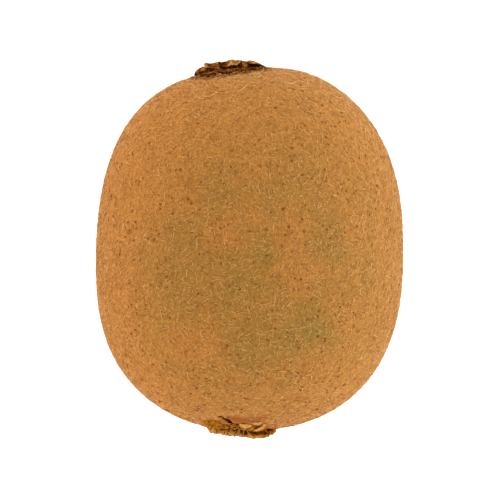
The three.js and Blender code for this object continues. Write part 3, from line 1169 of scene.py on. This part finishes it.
# Dried anthers: dull brown grains that hold on to the threads
dead_anther = toned(
    "dead_anthers", anther_dark, anther_light, Roughness=0.9, Specular_IOR_Level=0.0
)

anther_crumbs = grown(
    "anther_crumbs",
    flower.data,
    speck_tree,
    {
        "Density": 2.2 / MM**2,
        "Crowding": 0.0,
        "Least size": 0.06 * MM, "Most size": 0.17 * MM,
        "Flatness": 0.8,
        "Seed": 52,
        "Material": dead_anther,
    },
)
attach(anther_crumbs, "root")


# The withered styles
# The styles in the pit have dried to flat papery strips that curl out over the stamens, paler
# than the rest. A few broken flakes of them lie on the upper side, at the edge of the skin.
style_count = 17
style_reach = (0.7 * MM, 1.6 * MM)
style_width = (0.25 * MM, 0.45 * MM)
style_colours = ("#74400c", "#a86e2a")
paper_thickness = 0.07 * MM
style_start = 0.4 * MM
style_swerve = 0.5 * MM
style_lift = (0.10 * MM, 0.35 * MM)
strip_steps = 8
upright = Vector((0, 0, 1))
flower_facing = Vector((-0.09, -1.0, 0.31))
flake_facing = Vector((0.1, -1.0, -1.3))
well_outside = 12 * MM
paper_colours = ("#80501c", "#bd8846")
flakes = {
    "broad": ([(-1.7, -29.7), (-1.0, -29.95), (-0.3, -30.05), (0.4, -29.95)], 0.95, 0.4),
    "upper": ([(0.5, -29.5), (1.1, -29.6), (1.6, -29.55), (2.1, -29.35)], 0.65, 0.4),
    "crescent": ([(0.7, -30.9), (1.6, -30.65), (2.3, -30.2), (2.7, -29.7)], 0.65, 0.5),
}

# Papery dead tissue: thin and dry, streaked along its length by its veins, brown in the styles
# and bleached to a pale straw in the flakes
papers = {}
for name, (darker, paler) in {"dried_style": style_colours, "pale_flake": paper_colours}.items():
    papers[name], shader, put = finish(name, Roughness=0.6, Specular_IOR_Level=0.12)
    paper_uv = put("ShaderNodeUVMap", uv_map="along")
    stretched = put("ShaderNodeMapping", {"Vector": paper_uv, "Scale": (4, 6, 1)})
    streaks = put("ShaderNodeTexNoise", {"Vector": stretched, "Scale": 1.0, "Detail": 3.0})
    share = put("ShaderNodeMapRange", {"Value": streaks, "From Min": 0.35, "From Max": 0.65})
    colour = put(
        "ShaderNodeMix",
        {"Factor": share, "A": linear(darker), "B": linear(paler)},
        out="Result",
        data_type="RGBA",
    )
    veins = put("ShaderNodeBump", {"Height": streaks, "Strength": 0.5, "Distance": 0.06 * MM})
    wire(shader, Base_Color=colour, Normal=veins)


def strip(shape, middles, across, width, cupping):
    """A thin papery strip through its middle points, rounded at both ends, its edges turned up."""
    uv = shape.loops.layers.uv.verify()
    rows = []
    last = len(middles) - 1
    for i, middle in enumerate(middles):
        ahead = middles[min(i + 1, last)] - middles[max(i - 1, 0)]
        side = (across - ahead * across.dot(ahead) / ahead.length_squared).normalized()
        up = side.cross(ahead).normalized()
        half = 0.5 * width * math.sin(math.pi * (0.06 + 0.88 * i / last)) ** 0.5
        rows.append(
            [
                shape.verts.new(middle + side * half * u + up * half * cupping * u * u)
                for u in (-1, -0.5, 0, 0.5, 1)
            ]
        )
    faces = []
    for i in range(last):
        for k in range(4):
            corners = (rows[i][k], rows[i][k + 1], rows[i + 1][k + 1], rows[i + 1][k])
            faces.append(shape.faces.new(corners))
            places = ((i, k), (i, k + 1), (i + 1, k + 1), (i + 1, k))
            for loop, (a, b) in zip(faces[-1].loops, places):
                loop[uv].uv = (a / last, b / 4)
    shape.normal_update()
    bmesh.ops.solidify(shape, geom=faces, thickness=paper_thickness)


def paper_piece(name, shape, paper):
    """The piece made of strips: outward faces, smooth shading and a papery material."""
    bmesh.ops.recalc_face_normals(shape, faces=shape.faces)
    mesh = closed(shape, bpy.data.meshes.new(name))
    mesh.uv_layers[0].name = "along"
    mesh.polygons.foreach_set("use_smooth", [True] * len(mesh.polygons))
    mesh.materials.append(paper)
    piece = placed(name, mesh)
    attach(piece, "root")


flower_low, flower_high = (Vector(corner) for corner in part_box("flower_remains"))
pit_middle = (flower_low + flower_high) / 2
flower_out = flower_facing.normalized()
flower_right = flower_out.cross(upright).normalized()
flower_up = flower_right.cross(flower_out)
shape = bmesh.new()
for number in range(style_count):
    # Each style is a golden angle on from the last, and draws its chance from its own number
    turn = number * math.pi * (3 - math.sqrt(5))
    chance = (math.sin(number * 12.9898) * 43758.5453) % 1
    outwards = flower_right * math.cos(turn) + flower_up * math.sin(turn)
    across = outwards.cross(flower_out)
    reach = style_reach[0] + (style_reach[1] - style_reach[0]) * chance
    middles = []
    for i in range(strip_steps + 1):
        share = i / strip_steps
        swerve = style_swerve * math.sin(share * 3 + number) * share
        start = pit_middle + outwards * (style_start + reach * share)
        start += across * swerve + flower_out * well_outside
        hit, spot, _, _ = flower.ray_cast(start, -flower_out)
        if hit:
            height = style_lift[0] + style_lift[1] * chance * share * share
            middles.append(spot + flower_out * height)
    width = style_width[0] + (style_width[1] - style_width[0]) * ((chance * 7) % 1)
    strip(shape, middles, across, width, 0.5)
paper_piece("dried_styles", shape, papers["dried_style"])

shape = bmesh.new()
for path, width, lift in flakes.values():
    middles = []
    for i in range(strip_steps + 1):
        place = i / strip_steps * (len(path) - 1)
        first = min(int(place), len(path) - 2)
        ends = [Vector(spot) for spot in path[first : first + 2]]
        x, y = ends[0].lerp(ends[1], place - first)
        top, _ = topmost((flower, skin), x, y)
        middles.append(top + upright * lift * MM)
    levels = [spot.z for spot in middles]
    for i, spot in enumerate(middles):
        near = levels[max(i - 2, 0) : i + 3]
        spot.z = sum(near) / len(near)
    strip(shape, middles, flake_facing, width * MM, 0.35)
paper_piece("papery_flakes", shape, papers["pale_flake"])
